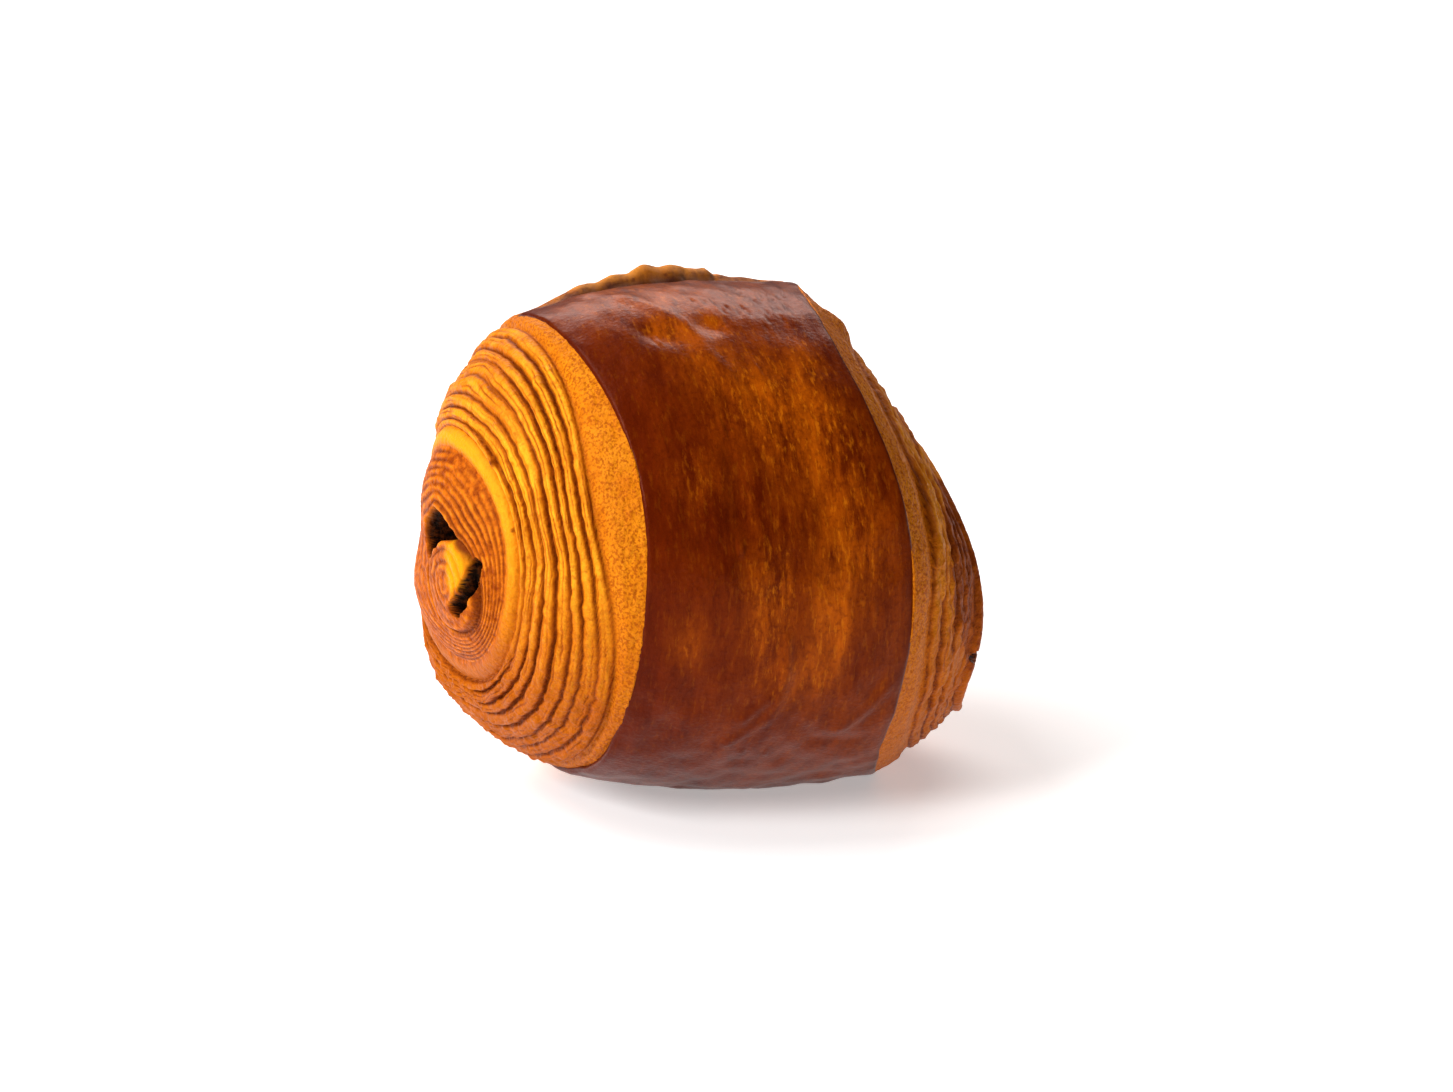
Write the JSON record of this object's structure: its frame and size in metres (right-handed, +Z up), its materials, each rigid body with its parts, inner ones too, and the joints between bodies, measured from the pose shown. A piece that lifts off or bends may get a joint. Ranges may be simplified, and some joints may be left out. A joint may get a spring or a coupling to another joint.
{
  "type": "pain au chocolat",
  "caption": "Rolled laminated pastry with ridged spiral ends, a glazed middle band and a chocolate baton through each inner turn of the dough.",
  "frame": {"origin": "middle of the outer box on the floor the pastry rests on", "axes": "+X along the roll, from the open left end of the picture to the right end; -Y towards the camera side, +Y the baked base; +Z up as it rests in the picture"},
  "size_m": [0.088, 0.0704, 0.08],
  "materials": {
    "crust": "baked laminated dough: golden ridged ends, glossy red-brown egg-washed band, matte base",
    "chocolate": "dark baked chocolate, slightly glossy"
  },
  "bodies": {
    "root": {"dough": "crust", "upper_baton": "chocolate", "lower_baton": "chocolate"}
  },
  "joints": []
}
